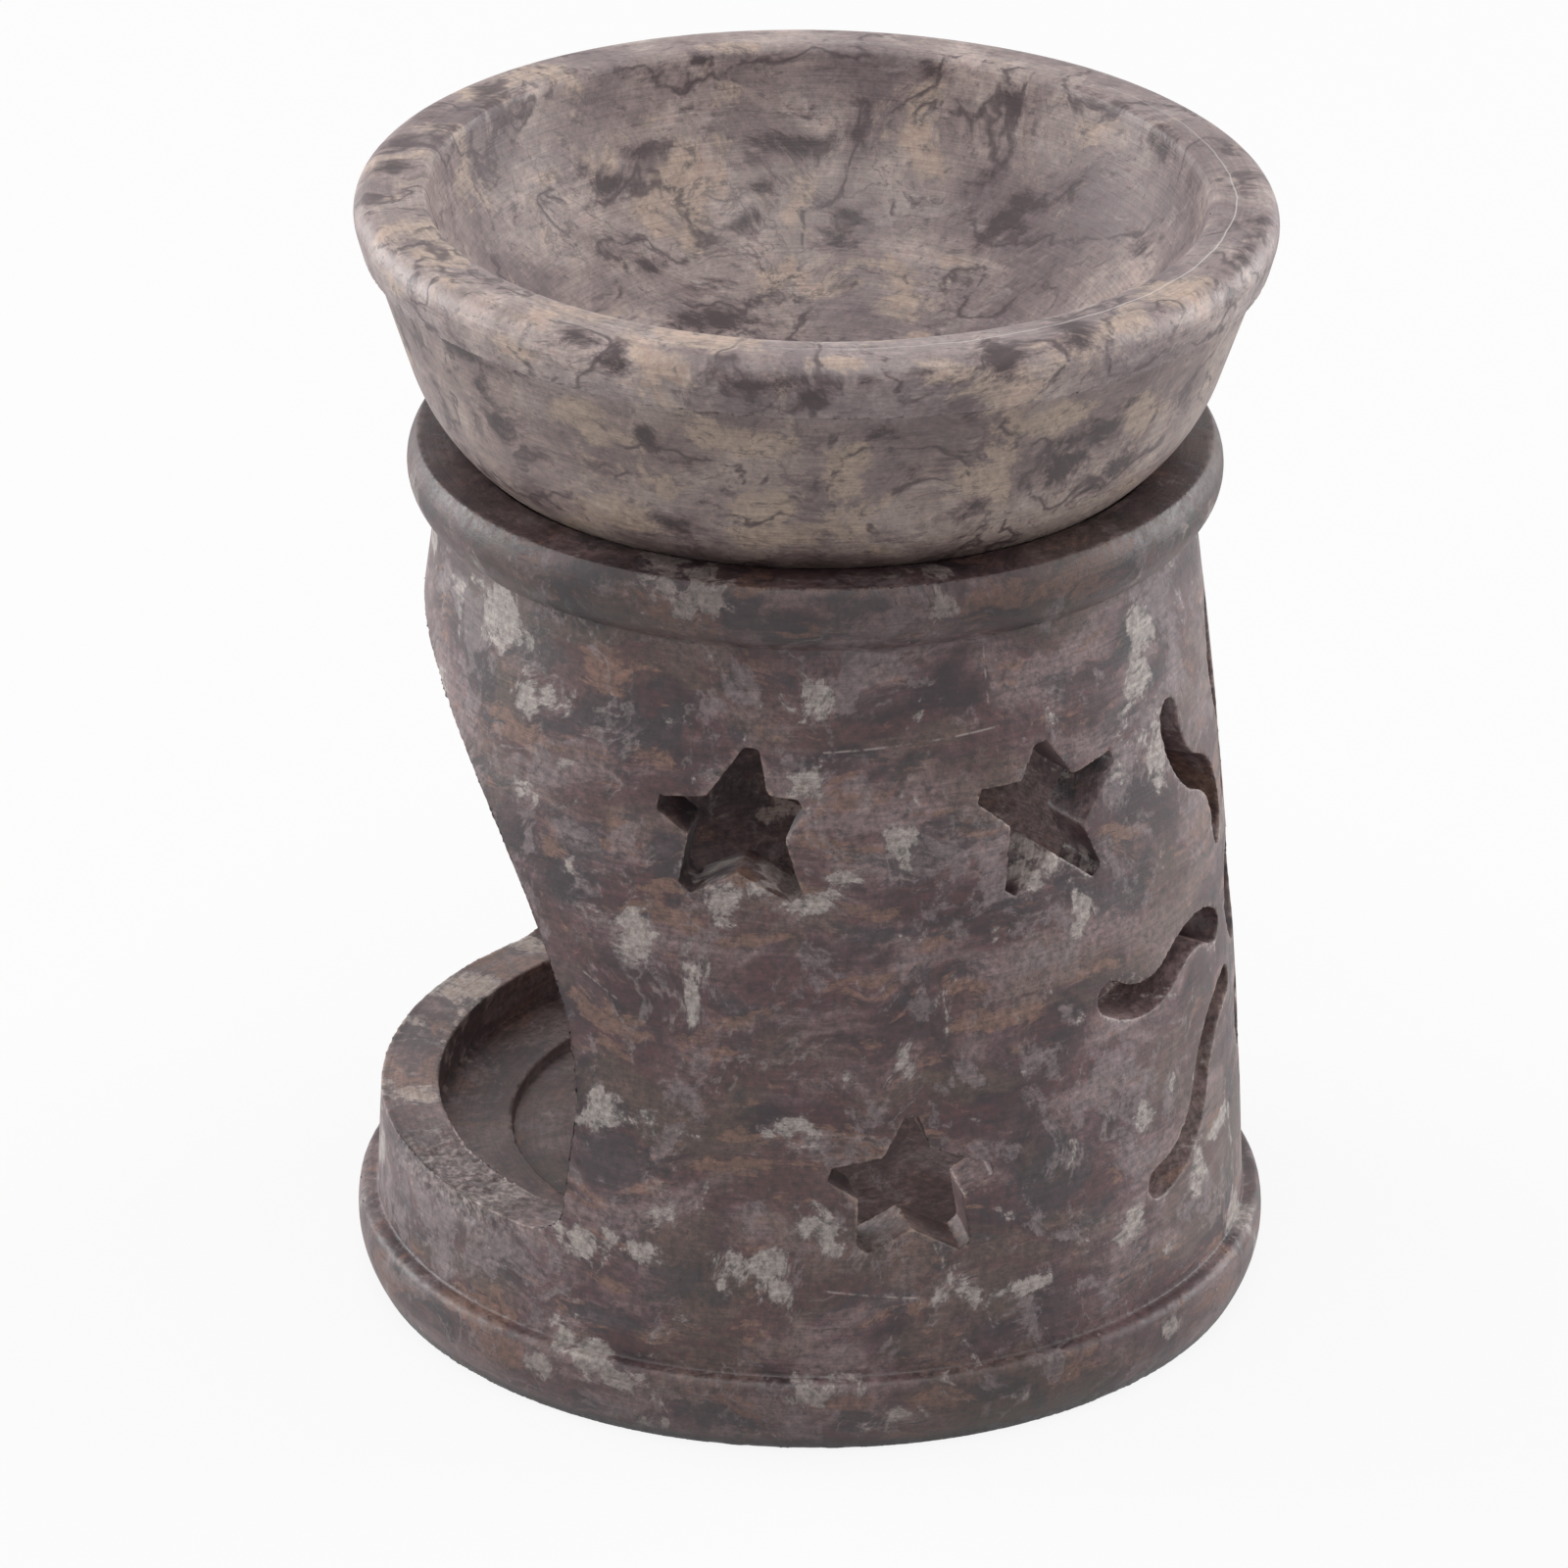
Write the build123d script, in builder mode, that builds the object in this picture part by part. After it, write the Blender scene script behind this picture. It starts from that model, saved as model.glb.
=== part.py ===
from build123d import *
import os
from math import cos, degrees, radians, sin, sqrt

# Essential oil burner turned from soapstone: a hollow chamber with an arched front, and a loose bowl
# that sits in its mouth. Millimetres, +Z up, origin at the centre of the base.
# The arch faces -Y, the cut sun faces +Y, and three cut stars stand on each side between them.
# Azimuths are in degrees from -Y and turn towards +X.

# Foot ring: its widest radius, and how far its lower and upper edges stand inside that
base_radius = 40.0
base_height = 6.7
base_foot_inset = 1.3
base_shelf_inset = 0.3
base_edge_round = 0.7
base_bulge_share = 0.6

# Chamber wall: it starts inside the foot ring and tapers to the neck under the collar
chamber_height = 78.2
wall_foot_inset = 1.7
wall_taper = 5.8
wall_bulge = 0.8
wall_thickness = 5.4

# Candle floor, with a shallow round seat inside a ledge
floor_height = 12.2
candle_ledge = 6.6
candle_seat_depth = 1.0

# Collar round the mouth: how far it stands out from the neck, at its widest and at its foot
collar_height = 6.0
collar_overhang = 2.5
collar_foot_overhang = 0.8
collar_shelf_inset = 0.9
collar_bulge_share = 0.54

# Arched front, with a tight lower corner on the +X side and a wide one on the -X side
sill_rise = 4.0
sill_tight_radius = 2.5
sill_wide_radius = 7.8
arch_leg = 9.8
arch_lintel = 8.7
arch_inset = 0.6

# Stars, cut freehand: azimuth, height up the wall as a share, and for each star its tips and waists from
# the top one round, counter-clockwise from outside, as shares of the radius and as angles from the right
star_radius = 7.0
star_tip_width = 1.2
star_azimuths = [82.5, 128.5, 106.6]
star_height_shares = [0.752, 0.738, 0.255]
star_tip_shares = [
    [1.04, 1.01, 1.01, 1.09, 0.83],
    [0.93, 1.05, 1.07, 1.12, 1.1],
    [0.98, 1.05, 0.95, 1.02, 1.01],
]
star_tip_angles = [
    [82.0, 167.0, 231.0, 312.0, 384.0],
    [96.0, 156.0, 234.0, 306.0, 384.0],
    [91.0, 164.0, 228.0, 310.0, 369.0],
]
star_waist_shares = [
    [0.55, 0.6, 0.52, 0.57, 0.58],
    [0.64, 0.57, 0.46, 0.53, 0.54],
    [0.6, 0.66, 0.47, 0.63, 0.59],
]
star_waist_angles = [
    [135.0, 190.0, 272.0, 352.0, 413.0],
    [128.0, 182.0, 265.0, 330.0, 409.0],
    [127.0, 184.0, 267.0, 350.0, 429.0],
]

# Sun: a round hole, and wavy rays at uneven angles, counter-clockwise from outside, 0 to the right
sun_azimuth = 180.0
sun_height_share = 0.452
sun_hole_radius = 4.9
ray_gap = 3.3
ray_length = 20.3
ray_width = 3.0
ray_wave = 1.4
ray_angles = [1.0, 56.0, 90.0, 124.0, 179.0, 220.0, 270.0, 320.0]
ray_length_shares = [1.0, 1.0, 0.95, 1.0, 1.0, 1.1, 0.58, 1.1]

# Bowl
bowl_height = 26.8
bowl_sink = 4.0
bowl_knee_radius = 17.0
bowl_side_angle = 18.0
rim_height = 5.0
rim_radius = 40.0
rim_width = 6.8
rim_foot_inset = 1.4
rim_overhang = 0.7
rim_round = 2.2
lip_round = 0.8
bowl_floor_thickness = 5.5
dish_floor_radius = 45.0
dish_floor_angle = 28.0

# Seat of the bowl in the mouth
seat_width = 2.4
seat_clearance = 0.25

# How far each cutting tool runs past the stone
cut_overrun = 3.0

# Heights and radii that follow from the sizes above
base_foot_radius = base_radius - base_foot_inset
base_shelf_radius = base_radius - base_shelf_inset
wall_foot_radius = base_radius - wall_foot_inset
neck_radius = wall_foot_radius - wall_taper
neck_height = chamber_height - collar_height
wall_height = neck_height - base_height
collar_radius = neck_radius + collar_overhang
collar_foot_radius = neck_radius + collar_foot_overhang
collar_shelf_radius = collar_radius - collar_shelf_inset
chamber_floor_radius = wall_foot_radius - wall_thickness
candle_seat_radius = chamber_floor_radius - candle_ledge
mouth_radius = neck_radius - wall_thickness
sill_height = floor_height + sill_rise
arch_springing = sill_height + arch_leg
arch_half_width = chamber_floor_radius - arch_inset
arch_apex = neck_height - arch_lintel
ray_start_radius = sun_hole_radius + ray_gap
bowl_bottom = chamber_height - bowl_sink
bowl_top = bowl_bottom + bowl_height
rim_bottom = bowl_top - rim_height
rim_foot_radius = rim_radius - rim_foot_inset
dish_radius = rim_radius - rim_width
dish_bottom = bowl_bottom + bowl_floor_thickness

# The bowl's rounded underside stands seat_width outside the mouth at the height of the collar's top
knee_height = bowl_bottom + bowl_knee_radius
knee_reach = sqrt(bowl_knee_radius**2 - (bowl_knee_radius - bowl_sink) ** 2)
knee_centre_radius = mouth_radius + seat_width - knee_reach


def height_at(share):
    """Height of a place on the wall, given as a share of the way from the foot ring to the neck."""
    return base_height + share * wall_height


def wall_radius_at(height):
    """Outer radius of the bulging wall at a height."""
    share = (height - base_height) / wall_height
    taper = wall_foot_radius + share * (neck_radius - wall_foot_radius)
    return taper + 4 * wall_bulge * share * (1 - share)


def wall_plane(azimuth, height):
    """Plane that faces outwards, just outside the wall, with its X to the right seen from outside."""
    turn = radians(azimuth)
    reach = wall_radius_at(height) + cut_overrun
    return Plane(
        origin=(reach * sin(turn), -reach * cos(turn), height),
        x_dir=(cos(turn), sin(turn), 0),
        z_dir=(sin(turn), -cos(turn), 0),
    )


def star_outline(tip_shares, tip_angles, waist_shares, waist_angles, side):
    """Points of a star with blunt tips, from its top one round; side -1 gives its mirror image."""
    outline = []
    for tip_share, tip_angle, waist_share, waist_angle in zip(
        tip_shares, tip_angles, waist_shares, waist_angles
    ):
        tip = Vector(star_radius * tip_share, 0).rotate(Axis.Z, tip_angle)
        blunt = Vector(0, star_tip_width / 2).rotate(Axis.Z, tip_angle)
        waist = Vector(star_radius * waist_share, 0).rotate(Axis.Z, waist_angle)
        for corner in (tip - blunt, tip + blunt, waist):
            outline.append((side * corner.X, corner.Y))
    return outline


# A tool that starts outside the wall ends inside the chamber after this depth
cut_depth = wall_thickness + 2 * cut_overrun

# Burner body
with BuildPart() as burner_body:
    # The outside: foot ring, bulging wall and collar in one turned outline
    with BuildSketch(Plane.XZ) as body_outline:
        with BuildLine():
            Polyline((0, chamber_height), (0, 0), (base_foot_radius, 0))
            ThreePointArc(
                (base_foot_radius, 0),
                (base_radius, base_height * base_bulge_share),
                (base_shelf_radius, base_height),
            )
            Line((base_shelf_radius, base_height), (wall_foot_radius, base_height))
            ThreePointArc(
                (wall_foot_radius, base_height),
                (wall_radius_at(height_at(1 / 2)), height_at(1 / 2)),
                (neck_radius, neck_height),
            )
            Line((neck_radius, neck_height), (collar_foot_radius, neck_height))
            ThreePointArc(
                (collar_foot_radius, neck_height),
                (collar_radius, neck_height + collar_height * collar_bulge_share),
                (collar_shelf_radius, chamber_height),
            )
            Line((collar_shelf_radius, chamber_height), (0, chamber_height))
        make_face()
        base_edge = body_outline.vertices().sort_by_distance((base_shelf_radius, base_height))[0]
        fillet(base_edge, radius=base_edge_round)
    revolve(axis=Axis.Z)

    # The inside: candle floor with its shallow round seat, wall and mouth
    with BuildSketch(Plane.XZ):
        with BuildLine():
            Polyline(
                (0, chamber_height + cut_overrun),
                (0, floor_height - candle_seat_depth),
                (candle_seat_radius, floor_height - candle_seat_depth),
                (candle_seat_radius, floor_height),
                (chamber_floor_radius, floor_height),
            )
            ThreePointArc(
                (chamber_floor_radius, floor_height),
                (
                    (chamber_floor_radius + mouth_radius) / 2 + wall_bulge,
                    (floor_height + neck_height) / 2,
                ),
                (mouth_radius, neck_height),
            )
            Polyline(
                (mouth_radius, neck_height),
                (mouth_radius, chamber_height + cut_overrun),
                (0, chamber_height + cut_overrun),
            )
        make_face()
    revolve(axis=Axis.Z, mode=Mode.SUBTRACT)

    # The seat: the bowl's rounded underside, larger by the clearance
    seat_radius = bowl_knee_radius + seat_clearance
    with BuildSketch(Plane.XZ):
        with BuildLine():
            CenterArc((knee_centre_radius, knee_height), seat_radius, 270, 90)
            Polyline(
                (knee_centre_radius + seat_radius, knee_height),
                (knee_centre_radius, knee_height),
                (knee_centre_radius, knee_height - seat_radius),
            )
        make_face()
    revolve(axis=Axis.Z, mode=Mode.SUBTRACT)

    # The arch, cut straight through the front
    with BuildSketch(Plane.XZ):
        with BuildLine():
            EllipticalCenterArc(
                (0, arch_springing),
                arch_half_width,
                arch_apex - arch_springing,
                arc_size=180,
            )
            Line(
                (-arch_half_width, arch_springing),
                (-arch_half_width, sill_height + sill_wide_radius),
            )
            CenterArc(
                (sill_wide_radius - arch_half_width, sill_height + sill_wide_radius),
                sill_wide_radius,
                180,
                90,
            )
            Line(
                (sill_wide_radius - arch_half_width, sill_height),
                (arch_half_width - sill_tight_radius, sill_height),
            )
            CenterArc(
                (arch_half_width - sill_tight_radius, sill_height + sill_tight_radius),
                sill_tight_radius,
                270,
                90,
            )
            Line(
                (arch_half_width, sill_height + sill_tight_radius),
                (arch_half_width, arch_springing),
            )
        make_face()
    extrude(amount=base_radius + cut_overrun, mode=Mode.SUBTRACT)

    # The stars, each cut square to the wall, and the same stars on the other side
    for azimuth, height_share, tip_shares, tip_angles, waist_shares, waist_angles in zip(
        star_azimuths,
        star_height_shares,
        star_tip_shares,
        star_tip_angles,
        star_waist_shares,
        star_waist_angles,
    ):
        for side in (1, -1):
            with BuildSketch(wall_plane(side * azimuth, height_at(height_share))):
                outline = star_outline(tip_shares, tip_angles, waist_shares, waist_angles, side)
                Polygon(*outline, align=None)
            extrude(amount=-cut_depth, mode=Mode.SUBTRACT)

    # The sun's round hole
    sun_height = height_at(sun_height_share)
    with BuildSketch(wall_plane(sun_azimuth, sun_height)):
        Circle(sun_hole_radius)
    extrude(amount=-cut_depth, mode=Mode.SUBTRACT)

    # The sun's rays: each is an S of two arcs, cut square to the wall at the ray's middle
    for angle, length_share in zip(ray_angles, ray_length_shares):
        turn = radians(angle)
        length = ray_length * length_share
        ray_middle = ray_start_radius + length / 2
        ray_height = sun_height + ray_middle * sin(turn)
        wrap = degrees(ray_middle * cos(turn) / wall_radius_at(ray_height))
        span = length - ray_width
        with BuildSketch(wall_plane(sun_azimuth + wrap, ray_height)):
            with BuildLine() as wave:
                ThreePointArc((-span / 2, 0), (-span / 4, -ray_wave), (0, 0))
                ThreePointArc((0, 0), (span / 4, ray_wave), (span / 2, 0))
            SlotArc(wave.wire(), ray_width, rotation=angle)
        extrude(amount=-cut_depth, mode=Mode.SUBTRACT)

# Oil bowl
with BuildPart() as oil_bowl:
    side_turn = radians(bowl_side_angle)
    knee_top = (
        knee_centre_radius + bowl_knee_radius * cos(side_turn),
        knee_height - bowl_knee_radius * sin(side_turn),
    )
    shoulder = (rim_foot_radius - rim_overhang, rim_bottom)
    floor_turn = radians(dish_floor_angle)
    dish_floor_edge = (
        dish_floor_radius * sin(floor_turn),
        dish_bottom + dish_floor_radius * (1 - cos(floor_turn)),
    )
    with BuildSketch(Plane.XZ) as bowl_outline:
        with BuildLine():
            # Underside, knee and side
            Polyline((0, dish_bottom), (0, bowl_bottom), (knee_centre_radius, bowl_bottom))
            CenterArc((knee_centre_radius, knee_height), bowl_knee_radius, 270, 90 - bowl_side_angle)
            TangentArc(knee_top, shoulder, tangent=(sin(side_turn), cos(side_turn)))
            # Rim
            Polyline(
                shoulder,
                (rim_foot_radius, rim_bottom),
                (rim_radius, bowl_top),
                (dish_radius, bowl_top),
            )
            # Dish
            CenterArc((0, dish_bottom + dish_floor_radius), dish_floor_radius, 270, dish_floor_angle)
            TangentArc(
                dish_floor_edge,
                (dish_radius, bowl_top),
                tangent=(cos(floor_turn), sin(floor_turn)),
            )
        make_face()
        rim_edge = bowl_outline.vertices().sort_by_distance((rim_radius, bowl_top))[0]
        fillet(rim_edge, radius=rim_round)
        lip_edge = bowl_outline.vertices().sort_by_distance((dish_radius, bowl_top))[0]
        fillet(lip_edge, radius=lip_round)
    revolve(axis=Axis.Z)

burner_body.part.label = "burner_body"
oil_bowl.part.label = "oil_bowl"

os.makedirs("parts", exist_ok=True)
export_step(burner_body.part, "parts/burner_body.step")
export_step(oil_bowl.part, "parts/oil_bowl.step")
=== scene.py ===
import math

import bmesh
import bpy
import numpy as np
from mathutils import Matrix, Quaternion, Vector
from mathutils.bvhtree import BVHTree
from mathutils.kdtree import KDTree


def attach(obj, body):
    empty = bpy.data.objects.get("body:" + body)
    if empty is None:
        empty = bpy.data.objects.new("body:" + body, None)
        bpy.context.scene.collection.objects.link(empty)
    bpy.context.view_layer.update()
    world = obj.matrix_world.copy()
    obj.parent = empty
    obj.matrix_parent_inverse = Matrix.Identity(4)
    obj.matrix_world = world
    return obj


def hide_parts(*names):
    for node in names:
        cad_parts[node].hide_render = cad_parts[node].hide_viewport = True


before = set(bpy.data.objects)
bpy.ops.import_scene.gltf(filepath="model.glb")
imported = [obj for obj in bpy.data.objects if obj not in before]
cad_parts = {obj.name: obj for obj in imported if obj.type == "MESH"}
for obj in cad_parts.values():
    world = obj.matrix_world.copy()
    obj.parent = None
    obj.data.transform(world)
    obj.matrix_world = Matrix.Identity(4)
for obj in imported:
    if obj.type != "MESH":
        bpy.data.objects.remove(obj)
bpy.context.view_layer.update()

# An oil burner of two soapstone pieces: a plum-brown body with cut stars and a cut sun, and a paler
# loose bowl. Places on the stone are in millimetres, and azimuths in degrees from -Y towards +X.
MM = 0.001

# Camera, fitted to the photograph: distances in metres, angles in degrees
CAMERA_AZIMUTH = 93.0
CAMERA_DISTANCE = 0.8
CAMERA_HEIGHT = 0.4186
CAMERA_PITCH = 25.062
CAMERA_YAW = 0.179
CAMERA_ROLL = 0.336
CAMERA_LENS = 233.2
CAMERA_SENSOR = 36

# The photograph's width in pixels, and its camera's distance from the picture plane in the same pixels
PHOTO_SIZE = 1600
PHOTO_REACH = PHOTO_SIZE * CAMERA_LENS / CAMERA_SENSOR

# Studio: a white room, a light above, and two large ones behind that veil the stone's sides
FLOOR_REACH = 3.0
FLOOR_COLOR = (0.66, 0.66, 0.66, 1.0)
FLOOR_WHITE_SHARE = 0.88
SKY_LIGHT = 0.5
LIGHT_AIM = (0.0, 0.0, 0.05)
LIGHT_SIZE = 0.7
OVERHEAD_PLACE = (0.25, 0.0, 0.95)
OVERHEAD_POWER = 3.7
LEFT_PLACE = (-0.23, -0.77, 0.2)
RIGHT_PLACE = (-0.31, 0.74, 0.2)
LEFT_POWER = 7.4
RIGHT_POWER = 6.1

# Stone meshes
VOXEL_SIZE = 0.3
SMOOTH_STEPS = 2
SOFTEN_STEPS = 2
SEED = 7
LATTICE = 64
UNEVEN_DEPTH = 0.08
UNEVEN_SIZE = 11.0
CHIP_DEPTH = 0.06
CHIP_SIZE = 2.5
ROUGH_DEPTH = 0.45
CRUMB_SIZE = 0.9
CRUMB_FINE_SIZE = 0.5
CRUMB_FINE_SHARE = 0.4
TINY = 0.001

# Sharp edges of the CAD: the least angle between their faces in degrees, and how near a point has to
# lie to go on them, which grows with each degree over a right-angled edge, up to a feather's
WELD = 1e-6
SHARP_ANGLE = 35.0
SHARP_REACH = 0.6
FEATHER_ANGLE = 95.0
FEATHER_REACH = 0.03
EDGE_STEP = 0.1
EDGE_WELD = 0.05
LEAN_LEAST = 0.02
LEAN_RANGE = 0.04
SHELTER_RADIUS = 31.0

# The chamber's outer wall: its foot and neck, its bulge between them, and the skin that is sanded
WALL_FOOT = 6.7
WALL_FOOT_RADIUS = 38.3
WALL_NECK = 72.2
WALL_NECK_RADIUS = 32.5
WALL_BULGE = 0.8
WALL_SKIN = 0.5
WALL_THICKNESS = 5.4
CANDLE_FLOOR = 11.0
BASE_RADIUS = 40.0
COLLAR_RADIUS = 35.0
COLLAR_TOP = 78.2
# Painted shade: the height below which the foot darkens towards the floor, standing in for its contact
# shadow
FOOT_SHADE_HEIGHT = 1.6
# Heights below which the chamber's pale dust and painted light are full, and above which they are gone
CHAMBER_PALE_FULL = 30.0
CHAMBER_PALE_END = 55.0

# How the stone's patterns are made: the range of the noise that is used, and how far, in millimetres,
# slow noise pushes a pattern about
NOISE_LOW = 0.33
NOISE_HIGH = 0.67
PUSH_SCALE = 0.06
PUSH_REACH = (14.0, 14.0, 12.0)

# How both stones are finished
# Painted shade and dirt in the creases
CREASE_SHADE_AND_DIRT_SHARE = 0.6
# Worn edges, lightened also as painted highlight
WORN_AND_HIGHLIGHT_SHARE = 0.6
RELIEF_STRENGTH = 0.3
RELIEF_DEPTH = 0.05
LINE_RELIEF = 0.7
SMOOTHEST = 0.42
ROUGHEST = 0.62
GLOSS = 0.6

# Fine scratches on the body, each from one azimuth and height to another
SCRATCHES = [
    (94.5, 63.1, 120.5, 63.9), (119.0, 65.6, 118.6, 71.0), (95.0, 14.7, 109.0, 13.4),
    (58.0, 42.0, 66.0, 39.5), (127.0, 4.4, 125.5, 2.3),
]
SCRATCH_WIDTH = 0.16

# The sill's broken stretch: its azimuths, its height and how far the break reaches from it
SILL_START = 16
SILL_END = 56
SILL_HEIGHT = 16.2
SILL_REACH = 2.2

# The bowl sits a little low on the +Y side of its loose seat
BOWL_RADIUS = 40.0
BOWL_KNEE = 80.0
BOWL_RIM = 96.0
BOWL_LEAN = 0.45
BOWL_SETTLE = 0.28

# How spots picked in the photograph become marks on the body: steps along a line of sight, pixels to a
# millimetre across and up the wall, and the least share that the wall's slant leaves of a width
SIGHT_STEPS = np.linspace(740, 960, 22001)
PIXELS_ACROSS = 11.6
PIXELS_UP = 10.5
LEAST_SLANT = 0.25

# Spots on the body, picked in the photograph and then nudged: pixels across and down, half
# width and half height
PALE_SPOTS = [
    (510, 620, 22, 28), (535, 712, 11, 18), (566, 713, 16, 12), (535, 805, 20, 12), (718, 617, 20, 15),
    (675, 588, 26, 9), (645, 962, 22, 22), (735, 912, 18, 12), (785, 905, 18, 6), (825, 800, 18, 19),
    (830, 922, 28, 11), (835, 712, 13, 15), (916, 858, 12, 22), (898, 890, 18, 10), (864, 893, 20, 7),
    (1166, 640, 12, 22), (1160, 680, 11, 20), (1175, 780, 16, 20), (1115, 890, 12, 11), (1105, 922, 8, 20),
    (1060, 882, 24, 12), (965, 625, 15, 20), (618, 1140, 13, 16), (705, 1020, 7, 24), (668, 1245, 17, 12),
    (640, 1270, 28, 11), (595, 1262, 16, 13), (778, 1297, 25, 10), (790, 1322, 16, 15), (818, 1150, 24, 10),
    (580, 1380, 24, 12), (930, 1090, 9, 15), (988, 1320, 20, 17), (1040, 1310, 32, 7), (1095, 1175, 14, 14),
    (1168, 1138, 11, 17), (840, 1262, 20, 26), (1224, 1195, 9, 20), (1155, 1250, 12, 18),
    (470, 1210, 24, 14), (440, 1130, 14, 12),
]
RUST_SPOTS = [
    (615, 680, 14, 24), (505, 735, 14, 20), (562, 845, 10, 24), (625, 865, 16, 20), (665, 905, 20, 16),
    (705, 938, 26, 11), (760, 962, 26, 7), (674, 632, 22, 14), (800, 655, 40, 6), (880, 820, 40, 9),
    (865, 858, 34, 10), (890, 935, 28, 8), (960, 962, 40, 7), (870, 1005, 60, 12), (960, 1010, 40, 12),
    (648, 1052, 18, 18), (850, 1175, 42, 10), (745, 1190, 55, 7), (1110, 592, 45, 18), (1130, 1370, 40, 6),
    (860, 1430, 24, 10), (1015, 1040, 30, 8), (720, 1060, 22, 10), (480, 1320, 24, 14),
]
DARK_SPOTS = [
    (550, 670, 22, 28), (645, 740, 46, 18), (500, 790, 18, 14), (590, 872, 24, 28), (685, 880, 28, 20),
    (752, 615, 20, 20), (775, 702, 30, 14), (910, 780, 24, 13), (960, 868, 38, 32), (1140, 910, 28, 18),
    (885, 955, 66, 11), (960, 990, 40, 8), (1090, 1230, 32, 24), (910, 1337, 28, 11), (965, 1372, 38, 14),
    (620, 1190, 20, 26), (1010, 1245, 30, 30), (700, 740, 40, 14), (600, 1340, 30, 16), (720, 1320, 30, 14),
]

# More marks on the body: azimuth, height, half width and half height
PALE_MARKS = [
    (-24, 16, 3.0, 1.5), (9, 16, 2.0, 1.5), (58, 17, 0.9, 0.9), (57, 4.5, 1.7, 1.0), (93, 5.5, 1.8, 0.8),
    (70, 5, 2.2, 0.7), (120, 3.5, 1.0, 0.6), (104, 4, 1.2, 0.6), (145, 4.5, 1.4, 0.9),
]
RUST_MARKS = [
    (24, 5, 3.0, 1.6), (158, 5, 3.0, 1.6), (-35, 16, 2.5, 1.5), (2, 16, 2.5, 1.5), (79, 5, 2.6, 0.8),
    (108, 5, 2.2, 0.7), (128, 4.5, 2.6, 0.8), (118, 77, 3.0, 1.2), (84, 53, 2.6, 1.7), (49, 4, 2.6, 1.2),
]
DARK_MARKS = [
    (-10, 16, 4.0, 2.0), (116, 4.5, 3.0, 1.2), (83, 3, 3.0, 1.2), (64, 3, 2.0, 1.2), (100, 3, 2.4, 1.0),
    # The marks at heights 75 to 77 on the collar: slate in the stone, and partly painted shade under the
    # bowl
    (133, 3, 2.5, 1.0), (101, 77, 4.0, 1.6), (92, 75, 3.5, 1.2), (62, 77, 3.0, 1.4),
]
PLUM_MARKS = [
    (65, 67, 6.0, 4.0), (83, 69, 5.0, 3.0), (76, 33, 7.0, 5.0), (102, 31, 7.0, 3.5), (107, 51, 4.0, 3.0),
    (63, 47, 4.0, 3.0), (90, 14, 8.0, 3.0), (126, 66, 5.0, 3.0), (88, 42, 8.0, 3.0), (130, 14, 5.0, 4.0),
    (146, 5, 6.0, 4.0),
]
# Haze marks: pale haze in the stone, and on the wall's left and right sides also painted sheen
HAZE_AND_SHEEN_MARKS = [
    (92, 68, 4.0, 2.5), (97, 71, 4.0, 2.0), (133, 49, 6.0, 4.0), (136, 31, 5.0, 5.0), (117, 51, 5.0, 3.0),
    (33, 66, 4.0, 4.0), (33, 56, 4.0, 5.0), (83, 50, 5.0, 1.6), (146, 58, 4.0, 6.0), (145, 20, 4.0, 5.0),
    (57, 18, 4.0, 2.5), (158, 66, 3.0, 6.0), (50, 44, 2.5, 5.0), (40, 11, 6.0, 3.5), (26, 13, 5.0, 4.0),
]

# Spots on the bowl, picked in the photograph and then nudged: pixels across and down, half
# width and half height
BOWL_DARK_SPOTS = [
    (615, 178, 14, 16), (645, 152, 20, 11), (700, 78, 12, 19), (715, 58, 13, 9), (785, 138, 30, 14),
    (770, 155, 24, 12), (830, 140, 25, 10), (875, 125, 14, 11), (785, 180, 20, 13), (770, 209, 17, 14),
    (1010, 178, 12, 12), (1050, 195, 24, 20), (1030, 225, 24, 16), (995, 245, 12, 12), (1090, 180, 14, 16),
    (1113, 100, 21, 15), (1047, 95, 16, 13), (945, 57, 12, 9), (1190, 130, 20, 17), (1110, 130, 18, 10),
    (1165, 245, 10, 14), (860, 229, 20, 18), (735, 315, 26, 15), (700, 320, 20, 8), (725, 285, 20, 10),
    (660, 270, 20, 8), (410, 140, 24, 9), (430, 115, 22, 7), (491, 86, 14, 5), (400, 165, 20, 7),
    (1265, 180, 15, 10), (1285, 212, 15, 14), (1275, 245, 14, 10), (1258, 284, 13, 17), (587, 330, 24, 5),
    (631, 349, 10, 13), (1095, 325, 14, 8), (1020, 345, 10, 14), (885, 378, 11, 7), (940, 372, 14, 6),
    (470, 355, 16, 10), (510, 370, 20, 6), (495, 400, 10, 16), (510, 430, 20, 10), (540, 455, 14, 6),
    (602, 470, 30, 2), (660, 440, 9, 10), (700, 470, 15, 7), (720, 415, 20, 8), (830, 395, 14, 12),
    (770, 390, 30, 8), (896, 438, 22, 9), (930, 480, 11, 10), (960, 470, 14, 8), (990, 420, 12, 10),
    (1000, 450, 20, 8), (1150, 385, 14, 16), (1120, 440, 20, 12), (1096, 461, 20, 11), (1130, 480, 20, 12),
    (960, 525, 24, 8), (1000, 510, 14, 8), (690, 535, 20, 6),
]
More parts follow.
